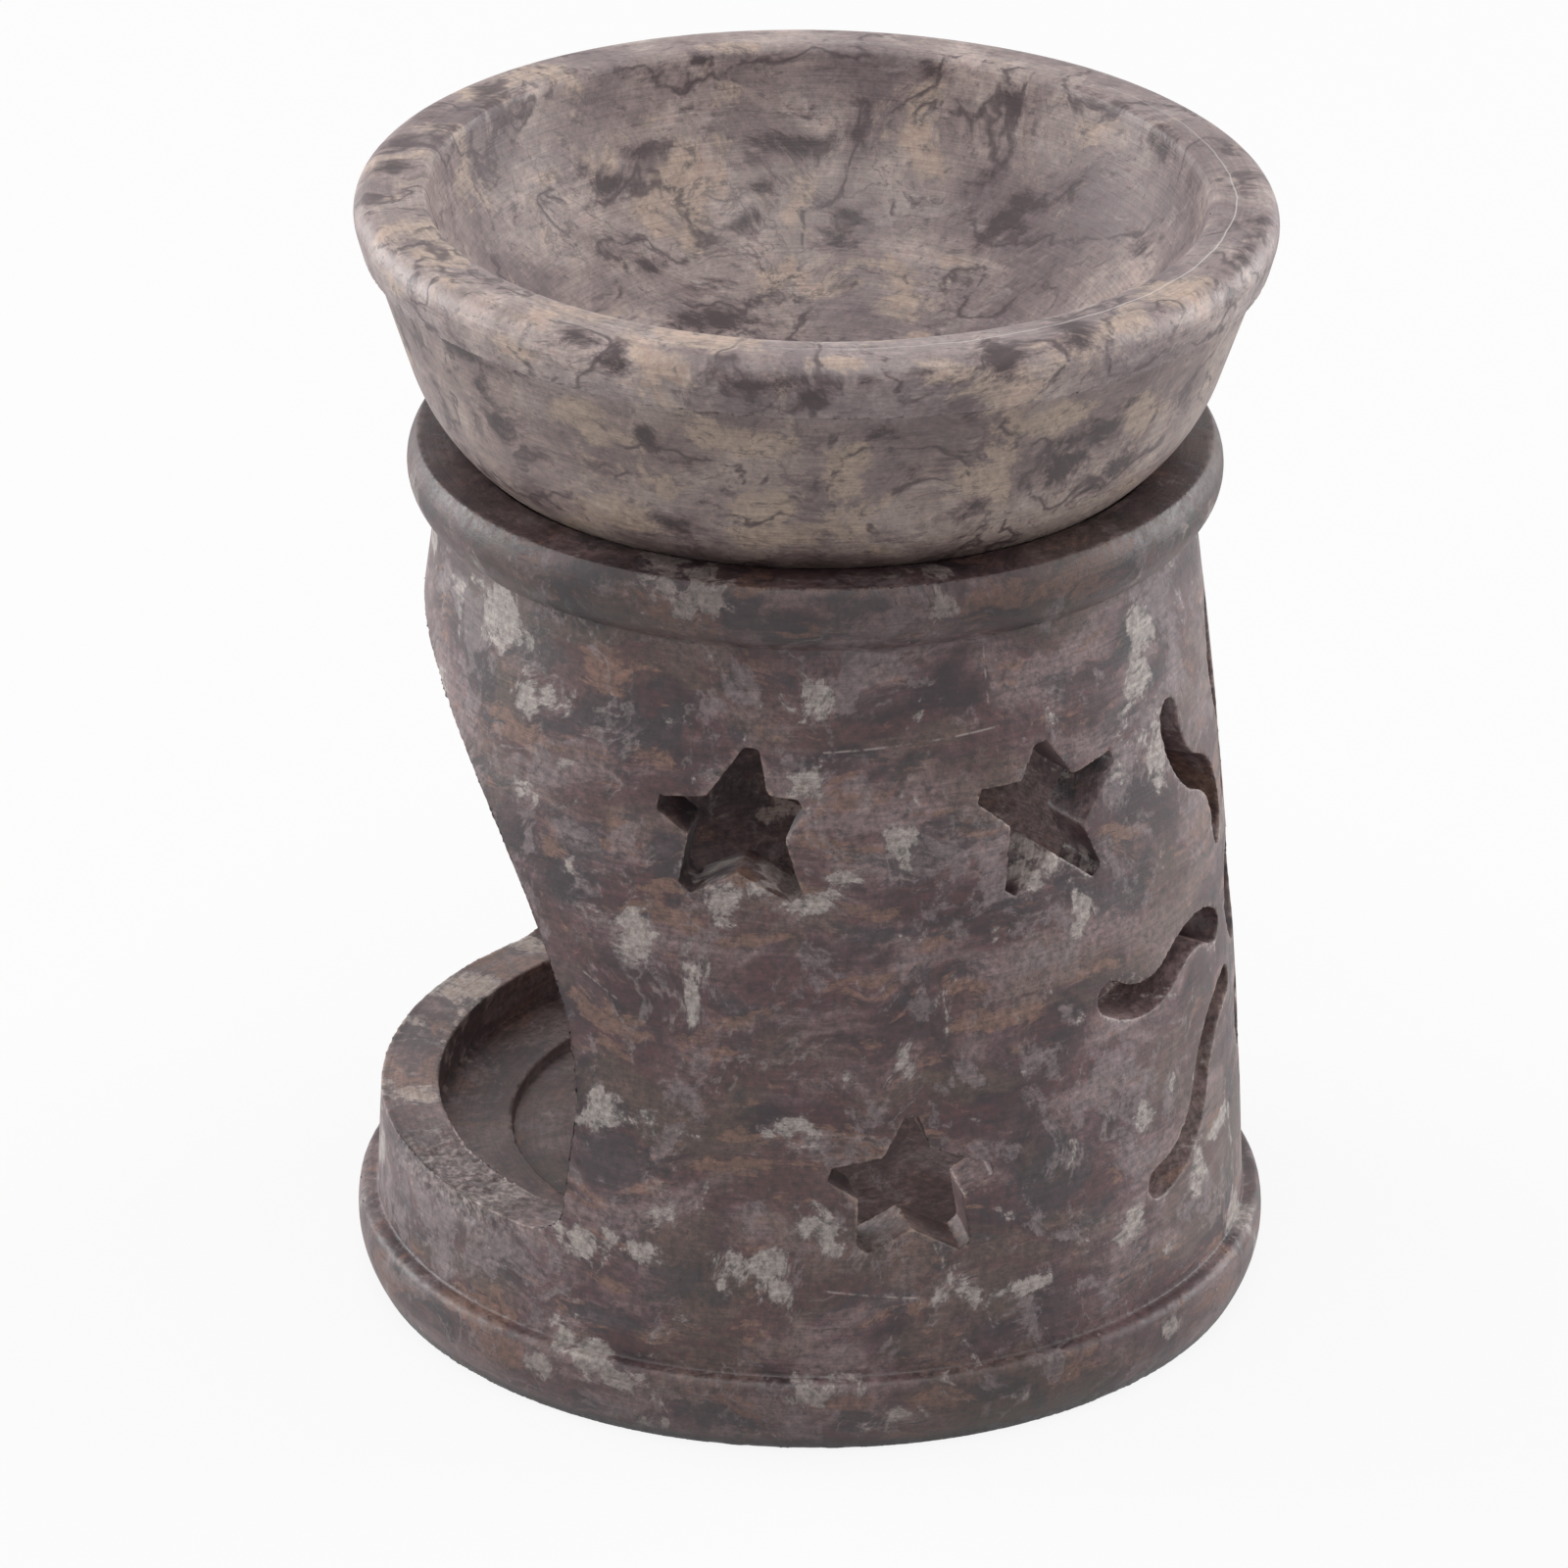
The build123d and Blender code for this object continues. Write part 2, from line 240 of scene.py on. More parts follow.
BOWL_CREAM_SPOTS = [
    (685, 185, 24, 28), (660, 205, 16, 17), (560, 185, 18, 20), (920, 130, 26, 16), (950, 160, 20, 15),
    (803, 290, 27, 15), (563, 69, 38, 4), (480, 92, 18, 8), (430, 225, 24, 14), (441, 259, 30, 12),
    (570, 310, 48, 3), (680, 365, 24, 12), (714, 337, 56, 5), (1090, 335, 40, 15), (1140, 320, 30, 14),
    (960, 365, 27, 10), (860, 365, 33, 11), (1200, 282, 20, 12), (755, 41, 23, 6), (880, 38, 22, 3),
    (1012, 54, 25, 4), (1040, 380, 30, 12), (590, 420, 30, 14), (640, 440, 20, 10), (760, 440, 30, 10),
    (750, 510, 40, 14), (800, 540, 50, 12), (860, 470, 20, 15), (1010, 480, 20, 20), (1160, 410, 15, 15),
    (1080, 420, 30, 12), (650, 525, 30, 10),
]

# Where marks are strewn at random, since the photograph doesn't show it: from one azimuth to another,
# from one height to another, and for the bowl the radius; then the range of a mark's half sizes
HIDDEN_BODY = (160, 390, 2, 78)
HIDDEN_WALL = (165, 390, 5, 75)
HIDDEN_BOWL = (145, 390, 78, 98, 36)
STREWN_WIDTHS = (0.9, 3.2)
STREWN_HEIGHTS = (0.7, 1.9)

# White scratches left on the bowl's rim: their radius, and the stretch that they cover as one mark, by its
# azimuth, radius, height, half width and half length
RIM_SCRATCH_RADIUS = 35.4
RIM_SCRATCH_MARKS = [(155, 35.4, 101, 30.0, 3.0)]


def camera_stand():
    """Where the photograph was taken from, in metres, and how the camera was turned."""
    turn = math.radians(CAMERA_AZIMUTH)
    pitch = math.radians(CAMERA_PITCH)
    yaw = math.radians(CAMERA_YAW)
    towards = Vector((-math.sin(turn), math.cos(turn), 0))
    right = Vector((math.cos(turn), math.sin(turn), 0))
    level = towards * math.cos(yaw) - right * math.sin(yaw)
    forward = level * math.cos(pitch) - Vector((0, 0, 1)) * math.sin(pitch)
    roll = Quaternion((0, 0, 1), math.radians(CAMERA_ROLL))
    place = -towards * CAMERA_DISTANCE + Vector((0, 0, CAMERA_HEIGHT))
    return place, forward.to_track_quat("-Z", "Y") @ roll


def make_camera():
    """Camera at the photograph's place, aimed a little left of the burner's axis."""
    camera = bpy.data.objects.new("camera", bpy.data.cameras.new("camera"))
    camera.data.lens = CAMERA_LENS
    camera.data.sensor_width = CAMERA_SENSOR
    camera.rotation_mode = "QUATERNION"
    camera.location, camera.rotation_quaternion = camera_stand()
    bpy.context.scene.collection.objects.link(camera)
    bpy.context.scene.camera = camera


def sight(across, down):
    """The direction from the camera through a pixel of the photograph."""
    middle = PHOTO_SIZE / 2
    _, turn = camera_stand()
    return (turn @ Vector((across - middle, middle - down, -PHOTO_REACH))).normalized()


def pixels_from_middle(point):
    """How far right and down of the photograph's middle a point in metres lies, in pixels."""
    place, turn = camera_stand()
    local = turn.inverted() @ (point - place)
    return np.array((local.x, -local.y)) * (PHOTO_REACH / -local.z)


def area_light(name, place, power):
    """A round soft light at a place in metres, facing the burner."""
    lamp = bpy.data.lights.new(name, "AREA")
    lamp.shape = "DISK"
    lamp.size = LIGHT_SIZE
    lamp.energy = power
    light = bpy.data.objects.new(name, lamp)
    light.location = place
    light.rotation_mode = "QUATERNION"
    light.rotation_quaternion = (Vector(LIGHT_AIM) - Vector(place)).to_track_quat("-Z", "Y")
    bpy.context.scene.collection.objects.link(light)


def add(tree, kind, inputs=None, **settings):
    """A new shader node; inputs maps its sockets to values or to other nodes' sockets."""
    node = tree.nodes.new("ShaderNode" + kind)
    for name, value in settings.items():
        setattr(node, name, value)
    for key, value in (inputs or {}).items():
        if isinstance(value, bpy.types.NodeSocket):
            tree.links.new(value, node.inputs[key])
        else:
            node.inputs[key].default_value = value
    return node


def math_node(tree, operation, first, second=0.0):
    return add(tree, "Math", {0: first, 1: second}, operation=operation).outputs[0]


def vector_node(tree, operation, first, second):
    return add(tree, "VectorMath", {0: first, 1: second}, operation=operation).outputs[0]


def seen_rays(tree):
    """1 for rays that show the background: straight from the camera, mirrored or refracted."""
    path = add(tree, "LightPath").outputs
    bent = math_node(tree, "MAXIMUM", path["Is Glossy Ray"], path["Is Transmission Ray"])
    return math_node(tree, "MAXIMUM", path["Is Camera Ray"], bent)


def make_world():
    """A white room that lights the stone softly from all round."""
    world = bpy.data.worlds.new("studio")
    bpy.context.scene.world = world
    world.use_nodes = True
    tree = world.node_tree
    strength = add(tree, "MapRange", {"Value": seen_rays(tree), "To Min": SKY_LIGHT, "To Max": 1.0})
    background = tree.nodes["Background"]
    background.inputs["Color"].default_value = (1, 1, 1, 1)
    tree.links.new(strength.outputs[0], background.inputs["Strength"])


def make_floor():
    """A pale floor that looks white from the camera and keeps a soft shadow."""
    mesh = bpy.data.meshes.new("floor")
    reach = FLOOR_REACH
    corners = [(-reach, -reach, 0), (reach, -reach, 0), (reach, reach, 0), (-reach, reach, 0)]
    mesh.from_pydata(corners, [], [(0, 1, 2, 3)])
    floor = bpy.data.objects.new("floor", mesh)
    bpy.context.scene.collection.objects.link(floor)
    material = bpy.data.materials.new("floor")
    material.use_nodes = True
    tree = material.node_tree
    tree.nodes.clear()
    paint = add(tree, "BsdfDiffuse", {"Color": FLOOR_COLOR})
    glow = add(tree, "Emission", {"Color": (1, 1, 1, 1), "Strength": 1.0})
    share = math_node(tree, "MULTIPLY", seen_rays(tree), FLOOR_WHITE_SHARE)
    both = add(tree, "MixShader", {0: share, 1: paint.outputs[0], 2: glow.outputs[0]})
    add(tree, "OutputMaterial", {"Surface": both.outputs[0]})
    mesh.materials.append(material)


def srgb(red, green, blue):
    """A colour as it looks on a screen, 0 to 255, made linear for the shaders."""
    linear = []
    for level in (red, green, blue):
        share = level / 255
        linear.append(share / 12.92 if share <= 0.04045 else ((share + 0.055) / 1.055) ** 2.4)
    return (*linear, 1.0)


def cloud(tree, place, scale, shift=0.0, detail=9.0, roughness=0.68):
    """Fractal values, mostly from 0.1 to 0.9, scale features to a millimetre; shift picks the pattern."""
    moved = vector_node(tree, "ADD", place, (shift, 0.7 * shift, 1.3 * shift))
    inputs = {"Vector": moved, "Scale": scale, "Detail": detail, "Roughness": roughness}
    value = add(tree, "TexNoise", inputs).outputs[0]
    inputs = {"Value": value, "From Min": NOISE_LOW, "From Max": NOISE_HIGH}
    return add(tree, "MapRange", inputs, clamp=False).outputs[0]


def band(tree, value, low, high, top=1.0):
    """0 at low, changing smoothly to top at high; low may be the greater of the two."""
    inputs = {"Value": value, "From Min": low, "From Max": high, "To Min": 0.0, "To Max": top}
    return add(tree, "MapRange", inputs, interpolation_type="SMOOTHSTEP").outputs[0]


def ridge(tree, value, width):
    """1 along the lines where a pattern crosses a half, falling to 0 within the width."""
    away = math_node(tree, "ABSOLUTE", math_node(tree, "SUBTRACT", value, 0.5))
    return math_node(tree, "SUBTRACT", 1.0, band(tree, away, 0.0, width))


def product(tree, first, second):
    return math_node(tree, "MULTIPLY", first, second)


def blend(tree, share, under, over, mode="MIX"):
    """One colour laid over another by a share."""
    mix = tree.nodes.new("ShaderNodeMix")
    mix.data_type = "RGBA"
    mix.blend_type = mode
    for socket, value in ((mix.inputs[0], share), (mix.inputs[6], under), (mix.inputs[7], over)):
        if isinstance(value, bpy.types.NodeSocket):
            tree.links.new(value, socket)
        else:
            socket.default_value = value
    return mix.outputs[2]


def ramp(tree, value, stops):
    """Colours along a value, each stop a place and a colour."""
    node = add(tree, "ValToRGB", {0: value})
    elements = node.color_ramp.elements
    while len(elements) < len(stops):
        elements.new(0.5)
    for element, (place, color) in zip(elements, stops):
        element.position = place
        element.color = color
    return node.outputs[0]


def attribute(tree, name):
    return add(tree, "Attribute", attribute_name=name).outputs["Fac"]


def steer(tree, mark, pull, pattern):
    """A pattern that a mark pulls up, so that it shows most there and frays at the mark's edge."""
    return math_node(tree, "ADD", pattern, product(tree, attribute(tree, mark), pull))


def stone_places(tree):
    """Places on the stone in millimetres, plain and pushed about by slow noise."""
    place = add(tree, "TexCoord").outputs["Object"]
    place = vector_node(tree, "MULTIPLY", place, (1 / MM, 1 / MM, 1 / MM))
    push = add(tree, "TexNoise", {"Vector": place, "Scale": PUSH_SCALE, "Detail": 3.0}).outputs["Color"]
    push = vector_node(tree, "SUBTRACT", push, (0.5, 0.5, 0.5))
    push = vector_node(tree, "MULTIPLY", push, PUSH_REACH)
    return place, vector_node(tree, "ADD", place, push)


def axis_distance(tree, place):
    flat = vector_node(tree, "MULTIPLY", place, (1, 1, 0))
    return add(tree, "VectorMath", {0: flat}, operation="LENGTH").outputs["Value"]


def turned_places(tree, place, along, across):
    """Places drawn out round the axis, for what a lathe or sandpaper leaves."""
    height = add(tree, "SeparateXYZ", {0: place}).outputs["Z"]
    profile = math_node(tree, "ADD", height, product(tree, axis_distance(tree, place), 0.9))
    squeezed = vector_node(tree, "MULTIPLY", place, (along, along, 0.0))
    lifted = add(tree, "CombineXYZ", {"Z": product(tree, profile, across)}).outputs[0]
    return vector_node(tree, "ADD", squeezed, lifted)


def speckle(tree, color, place, grain_share, line_share):
    """Fine grain and sanding lines over a colour; gives the colour, the grain and the lines."""
    grain = cloud(tree, place, 1.4, 5.0, 5.0, 0.75)
    light_dark = ramp(tree, grain, [(0.1, srgb(72, 70, 71)), (0.9, srgb(184, 182, 180))])
    color = blend(tree, grain_share, color, light_dark, "OVERLAY")
    lines = cloud(tree, turned_places(tree, place, 0.16, 4.0), 1.0, 0.0, 4.0, 0.65)
    light_dark = ramp(tree, lines, [(0.1, srgb(84, 82, 84)), (0.9, srgb(172, 170, 168))])
    return blend(tree, line_share, color, light_dark, "OVERLAY"), grain, lines


def scratch(tree, place, line):
    """1 on a thin scratch round the wall, 0 off it, broken up a little by noise."""
    along = add(tree, "SeparateXYZ", {0: place}).outputs
    azimuth = math_node(tree, "ARCTAN2", along["X"], product(tree, along["Y"], -1.0))
    arc = product(tree, azimuth, WALL_FOOT_RADIUS)
    flat = add(tree, "CombineXYZ", {"X": arc, "Y": along["Z"]}).outputs[0]
    start = Vector((math.radians(line[0]) * WALL_FOOT_RADIUS, line[1], 0))
    span = Vector((math.radians(line[2]) * WALL_FOOT_RADIUS, line[3], 0)) - start
    offset = vector_node(tree, "SUBTRACT", flat, start)
    inputs = {0: offset, 1: span / span.length_squared}
    share = add(tree, "VectorMath", inputs, operation="DOT_PRODUCT").outputs["Value"]
    share = add(tree, "Clamp", {"Value": share}).outputs[0]
    near = add(tree, "VectorMath", {0: span, "Scale": share}, operation="SCALE").outputs[0]
    away = vector_node(tree, "SUBTRACT", offset, near)
    away = add(tree, "VectorMath", {0: away}, operation="LENGTH").outputs["Value"]
    line_share = math_node(tree, "SUBTRACT", 1.0, band(tree, away, 0.0, SCRATCH_WIDTH))
    return product(tree, line_share, band(tree, cloud(tree, place, 0.5, 251.0, 4.0), 0.3, 0.7))


def finish_stone(tree, color, grain, lines, worn_and_highlight_color, crease_shade_and_dirt_color):
    """Worn edges, lightened also as painted highlight, painted shade and dirt in the creases, satin gloss,
    and the relief of the grain and the sanding lines.
    """
    # Painted shade and dirt: the creases are darkened
    color = blend(tree, product(tree, attribute(tree, "crease_shade_and_dirt"), CREASE_SHADE_AND_DIRT_SHARE), color, crease_shade_and_dirt_color)
    # Worn edges and painted highlight: convex edges are lightened
    worn_and_highlight = product(tree, attribute(tree, "edge"), band(tree, grain, 0.1, 0.6, WORN_AND_HIGHLIGHT_SHARE))
    color = blend(tree, worn_and_highlight, color, worn_and_highlight_color)
    relief = math_node(tree, "ADD", product(tree, lines, LINE_RELIEF), grain)
    inputs = {"Strength": RELIEF_STRENGTH, "Distance": RELIEF_DEPTH * MM, "Height": relief}
    bump = add(tree, "Bump", inputs)
    inputs = {"Value": grain, "From Min": 0.1, "From Max": 0.9, "To Min": SMOOTHEST, "To Max": ROUGHEST}
    shader = tree.nodes["Principled BSDF"]
    shader.inputs["Specular IOR Level"].default_value = GLOSS
    tree.links.new(color, shader.inputs["Base Color"])
    tree.links.new(add(tree, "MapRange", inputs).outputs[0], shader.inputs["Roughness"])
    tree.links.new(bump.outputs[0], shader.inputs["Normal"])


def new_stone(name):
    """A new material, with its shader tree."""
    material = bpy.data.materials.new(name)
    material.use_nodes = True
    return material, material.node_tree


def body_ground(tree, smeared, streaked):
    """The body's plum-brown ground, with olive, burgundy, slate and rust in it."""
    tones = [
        (0.2, srgb(64, 45, 51)),
        (0.42, srgb(95, 70, 75)),
        (0.55, srgb(118, 91, 95)),
        (0.76, srgb(150, 127, 129)),
    ]
    color = ramp(tree, cloud(tree, smeared, 0.08, 0.0, 8.0, 0.6), tones)
    olive = band(tree, cloud(tree, smeared, 0.05, 31.0, 7.0, 0.6), 0.54, 0.72, 0.5)
    color = blend(tree, olive, color, srgb(122, 103, 90))
    plum = steer(tree, "plum", 0.22, cloud(tree, streaked, 0.08, 57.0, 9.0, 0.64))
    color = blend(tree, band(tree, plum, 0.58, 0.78, 0.65), color, srgb(97, 62, 66))
    slate = steer(tree, "dark", 0.4, cloud(tree, smeared, 0.13, 83.0))
    color = blend(tree, band(tree, slate, 0.7, 0.9, 0.72), color, srgb(68, 61, 67))
    rust = steer(tree, "rust", 0.42, cloud(tree, streaked, 0.13, 109.0))
    return blend(tree, band(tree, rust, 0.7, 0.88, 0.72), color, srgb(154, 119, 105))


def body_flecks(tree, color, place, pushed, smeared):
    """Pale haze, partly painted sheen on the wall's left and right sides, wisps and flecks over the body's
    ground, and dark specks.
    """
    # The haze marks pull this haze up; on the wall's left and right sides it is partly painted sheen
    haze = steer(tree, "haze", 0.26, cloud(tree, pushed, 0.2, 131.0, 9.0, 0.7))
    color = blend(tree, band(tree, haze, 0.66, 0.86, 0.62), color, srgb(158, 143, 147))
    wisps = ridge(tree, cloud(tree, pushed, 0.1, 157.0, 6.0, 0.58), 0.06)
    wisps = product(tree, wisps, band(tree, cloud(tree, place, 0.09, 173.0, 5.0), 0.54, 0.74, 0.55))
    color = blend(tree, wisps, color, srgb(168, 156, 156))
    flecks = steer(tree, "pale", 0.6, cloud(tree, pushed, 0.26, 191.0, 9.0, 0.7))
    color = blend(tree, band(tree, flecks, 0.72, 0.94, 0.45), color, srgb(158, 144, 146))
    color = blend(tree, band(tree, flecks, 0.86, 1.0, 0.92), color, srgb(194, 186, 181))
    specks = band(tree, cloud(tree, smeared, 0.7, 211.0, 6.0, 0.7), 0.7, 0.95, 0.6)
    return blend(tree, specks, color, srgb(60, 46, 50))


def body_zones(tree, color, place, height):
    """Painted shade on the collar under the bowl and on the foot ring, pale dust and painted light in the
    chamber fading out upwards, and the sill's broken stone.
    """
    # Painted shade: the collar is darkened, standing in for the bowl's shadow
    collar_shade = band(tree, height, WALL_NECK - 1, WALL_NECK + 1)
    color = blend(tree, collar_shade, color, srgb(200, 193, 193), "MULTIPLY")
    # Painted shade: the foot ring is darkened
    foot_ring_shade = band(tree, height, WALL_FOOT + 1, WALL_FOOT - 1)
    color = blend(tree, foot_ring_shade, color, srgb(222, 217, 217), "MULTIPLY")
    # Pale dust on the cut faces, and painted light lifting the dark chamber, fading out upwards
    dust_and_painted_light = product(tree, attribute(tree, "inside"), band(tree, height, CHAMBER_PALE_END, CHAMBER_PALE_FULL))
    color = blend(tree, dust_and_painted_light, color, srgb(97, 88, 86), "ADD")
    stops = [(0.25, srgb(84, 70, 73)), (0.5, srgb(142, 127, 127)), (0.75, srgb(196, 184, 181))]
    crumbs = ramp(tree, cloud(tree, place, 1.8, 233.0, 3.0, 0.6), stops)
    return blend(tree, product(tree, attribute(tree, "broken"), 0.62), color, crumbs)


def body_stone():
    """Plum-brown soapstone, smeared sideways, with slate, rust and burgundy streaks and pale flecks."""
    material, tree = new_stone("body_stone")
    place, pushed = stone_places(tree)
    smeared = vector_node(tree, "MULTIPLY", pushed, (1.0, 1.0, 1.9))
    streaked = vector_node(tree, "MULTIPLY", pushed, (1.0, 1.0, 3.2))
    height = add(tree, "SeparateXYZ", {0: place}).outputs["Z"]
    color = body_ground(tree, smeared, streaked)
    color = body_flecks(tree, color, place, pushed, smeared)
    color = body_zones(tree, color, place, height)
    color, grain, lines = speckle(tree, color, place, 0.74, 0.42)
    for line in SCRATCHES:
        color = blend(tree, product(tree, scratch(tree, place, line), 0.45), color, srgb(186, 174, 168))
    # Painted shade: the stone darkens towards the bottom of the foot, as the contact shadow
    color = blend(tree, band(tree, height, FOOT_SHADE_HEIGHT, 0.3, 0.92), color, srgb(36, 30, 32))
    # The last two colours: worn edges that are also painted highlight, then painted shade and dirt in the
    # creases
    finish_stone(tree, color, grain, lines, srgb(186, 164, 150), srgb(46, 37, 39))
    return material


def bowl_ground(tree, pushed, streaked):
    """The bowl's greige ground, with lilac, cream and pale haze in it."""
    tones = [
        (0.2, srgb(138, 121, 123)),
        (0.42, srgb(158, 141, 140)),
        (0.56, srgb(173, 156, 152)),
        (0.8, srgb(200, 185, 179)),
    ]
    color = ramp(tree, cloud(tree, pushed, 0.08, 0.0, 9.0, 0.64), tones)
    lilac = band(tree, cloud(tree, pushed, 0.05, 37.0, 7.0, 0.6), 0.54, 0.72, 0.5)
    color = blend(tree, lilac, color, srgb(147, 131, 136))
    cream = steer(tree, "cream", 0.5, cloud(tree, pushed, 0.13, 61.0, 10.0, 0.7))
    color = blend(tree, band(tree, cream, 0.64, 0.92, 0.82), color, srgb(204, 185, 169))
    haze = band(tree, cloud(tree, streaked, 0.24, 97.0, 9.0, 0.72), 0.66, 0.9, 0.4)
    return blend(tree, haze, color, srgb(200, 187, 184))


def bowl_veins(tree, color, place, pushed, streaked):
    """Dark patches with a lighter border, veins that lead to them, thin threads and specks."""
    dark = steer(tree, "dark", 0.55, cloud(tree, streaked, 0.22, 113.0, 10.0, 0.74))
    color = blend(tree, band(tree, dark, 0.64, 0.92, 0.6), color, srgb(122, 100, 104))
    color = blend(tree, band(tree, dark, 0.82, 1.12, 0.95), color, srgb(70, 53, 56))
    course = cloud(tree, pushed, 0.075, 139.0, 5.0, 0.52)
    veins = product(tree, ridge(tree, course, 0.07), band(tree, dark, 0.36, 0.6, 0.85))
    color = blend(tree, veins, color, srgb(84, 66, 71))
    threads = ridge(tree, cloud(tree, streaked, 0.2, 151.0, 5.0, 0.55), 0.05)
    threads = product(tree, threads, band(tree, cloud(tree, place, 0.08, 157.0, 4.0), 0.5, 0.7, 0.5))
    color = blend(tree, threads, color, srgb(102, 84, 89))
    specks = band(tree, cloud(tree, streaked, 1.1, 167.0, 6.0, 0.7), 0.66, 0.92, 0.6)
    return blend(tree, specks, color, srgb(104, 87, 91))


def rim_scratches(tree, place):
    """1 on a wavering white ring on the bowl's rim, along the stretch that is marked."""
    ring = math_node(tree, "SUBTRACT", axis_distance(tree, place), RIM_SCRATCH_RADIUS)
    ring = math_node(tree, "ADD", ring, product(tree, cloud(tree, place, 0.1, 181.0, 3.0), 0.4))
    ring = ridge(tree, math_node(tree, "ADD", ring, 0.3), 0.12)
    return product(tree, ring, product(tree, attribute(tree, "scratch"), 0.6))


def bowl_stone():
    """Paler greige soapstone with cream clouds and dark feathery patches and veins."""
    material, tree = new_stone("bowl_stone")
    place, pushed = stone_places(tree)
    streaked = vector_node(tree, "MULTIPLY", pushed, (1.0, 0.45, 1.0))
    color = bowl_ground(tree, pushed, streaked)
    color = bowl_veins(tree, color, place, pushed, streaked)
    # Painted shade: the bowl's outside under the rim is darkened
    color = blend(tree, attribute(tree, "under"), color, srgb(234, 229, 225), "MULTIPLY")
    color, grain, lines = speckle(tree, color, place, 0.45, 0.36)
    color = blend(tree, rim_scratches(tree, place), color, srgb(214, 208, 204))
    # The last two colours: worn edges that are also painted highlight, then painted shade and dirt in the
    # creases
    finish_stone(tree, color, grain, lines, srgb(206, 192, 182), srgb(70, 57, 60))
    return material


def stone_piece(node, name):
    """A copy of a CAD node's mesh in even small faces, with its edges slightly rounded."""
    piece = bpy.data.objects.new(name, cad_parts[node].data.copy())
    bpy.context.scene.collection.objects.link(piece)
    remesh = piece.modifiers.new("remesh", "REMESH")
    remesh.mode = "VOXEL"
    remesh.voxel_size = VOXEL_SIZE * MM
    remesh.use_smooth_shade = True
    evaluated = piece.evaluated_get(bpy.context.evaluated_depsgraph_get())
    piece.data = bpy.data.meshes.new_from_object(evaluated)
    piece.modifiers.clear()
    piece.data.materials.clear()
    soften(piece.data, SMOOTH_STEPS)
    sharpen(piece, node)
    soften(piece.data, SOFTEN_STEPS)
    return piece


def read_points(mesh):
    """The mesh's points in millimetres."""
    flat = np.empty(len(mesh.vertices) * 3, dtype=np.float32)
    mesh.vertices.foreach_get("co", flat)
    return flat.reshape(-1, 3).astype(float) / MM


def write_points(mesh, points):
    mesh.vertices.foreach_set("co", (points * MM).astype(np.float32).ravel())
    mesh.update()


def read_normals(mesh):
    flat = np.empty(len(mesh.vertices) * 3, dtype=np.float32)
    mesh.vertex_normals.foreach_get("vector", flat)
    return flat.reshape(-1, 3).astype(float)


def read_edges(mesh):
    flat = np.empty(len(mesh.edges) * 2, dtype=np.int32)
    mesh.edges.foreach_get("vertices", flat)
    return flat.reshape(-1, 2)


def write_share(mesh, name, values):
    """Keep a value for each point, for the shaders to read."""
    layer = mesh.attributes.new(name, "FLOAT", "POINT")
    layer.data.foreach_set("value", values.astype(np.float32))


def around(values, pairs):
    """For each point, the mean of its neighbours' values."""
    first, second = pairs[:, 0], pairs[:, 1]
    count = np.bincount(first, minlength=len(values)) + np.bincount(second, minlength=len(values))
    total = np.bincount(first, values[second], len(values)) + np.bincount(second, values[first], len(values))
    return total / np.maximum(count, 1)


def soften(mesh, steps):
    """Move each point halfway to the middle of its neighbours, some times over."""
    points, pairs = read_points(mesh), read_edges(mesh)
    for _ in range(steps):
        middles = np.stack([around(points[:, axis], pairs) for axis in range(3)], axis=1)
        points = (points + middles) / 2
    write_points(mesh, points)


def leans(mesh, points):
    """How far each point's neighbours lie above it: negative on outward edges, positive in creases."""
    pairs, normals = read_edges(mesh), read_normals(mesh)
    lean = sum((around(points[:, axis], pairs) - points[:, axis]) * normals[:, axis] for axis in range(3))
    return around(lean, pairs)


def edge_shares(lean):
    return np.clip((-lean - LEAN_LEAST) / LEAN_RANGE, 0.0, 1.0)


def lumps(points, size, seed):
    """Smooth random values from 0 to 1, with lumps of about the given size in millimetres."""
    table = np.random.default_rng(seed).random((LATTICE, LATTICE, LATTICE))
    cells = points / size
    corner = np.floor(cells).astype(int)
    share = cells - corner
    share = share * share * (3 - 2 * share)
    total = np.zeros(len(points))
    for step in np.ndindex(2, 2, 2):
        weight = np.prod(np.where(step, share, 1 - share), axis=1)
        total += weight * table[tuple((corner + step).T % LATTICE)]
    return total


def azimuths(points):
    return np.degrees(np.arctan2(points[:, 0], -points[:, 1]))


def mark_shares(points, marks):
    """How deep each point lies in the nearest mark: 1 in its middle, a half at its edge."""
    turn = azimuths(points)
    radius = np.hypot(points[:, 0], points[:, 1])
    best = np.zeros(len(points))
    for azimuth, *place, height, half_width, half_height in marks:
        across = np.radians((turn - azimuth + 180) % 360 - 180) * radius / half_width
        up = points[:, 2] - height
        if place:
            up = np.hypot(up, radius - place[0])
        best = np.maximum(best, np.exp(-0.5 * (across**2 + (up / half_height) ** 2)))
    return best


def scatter(seed, count, start, end, low, high, radius=None):
    """Marks strewn at random over the sides that the photograph doesn't show."""
    rng = np.random.default_rng(seed)
    marks = []
    for _ in range(count):
        place = (rng.uniform(start, end), *([] if radius is None else [radius]), rng.uniform(low, high))
        marks.append((*place, rng.uniform(*STREWN_WIDTHS), rng.uniform(*STREWN_HEIGHTS)))
    return marks


def wall_radii(heights):
    """The radius of the chamber's outer wall at each height."""
    rise = (heights - WALL_FOOT) / (WALL_NECK - WALL_FOOT)
    wall = WALL_FOOT_RADIUS + (WALL_NECK_RADIUS - WALL_FOOT_RADIUS) * rise
    return wall + 4 * WALL_BULGE * rise * (1 - rise)


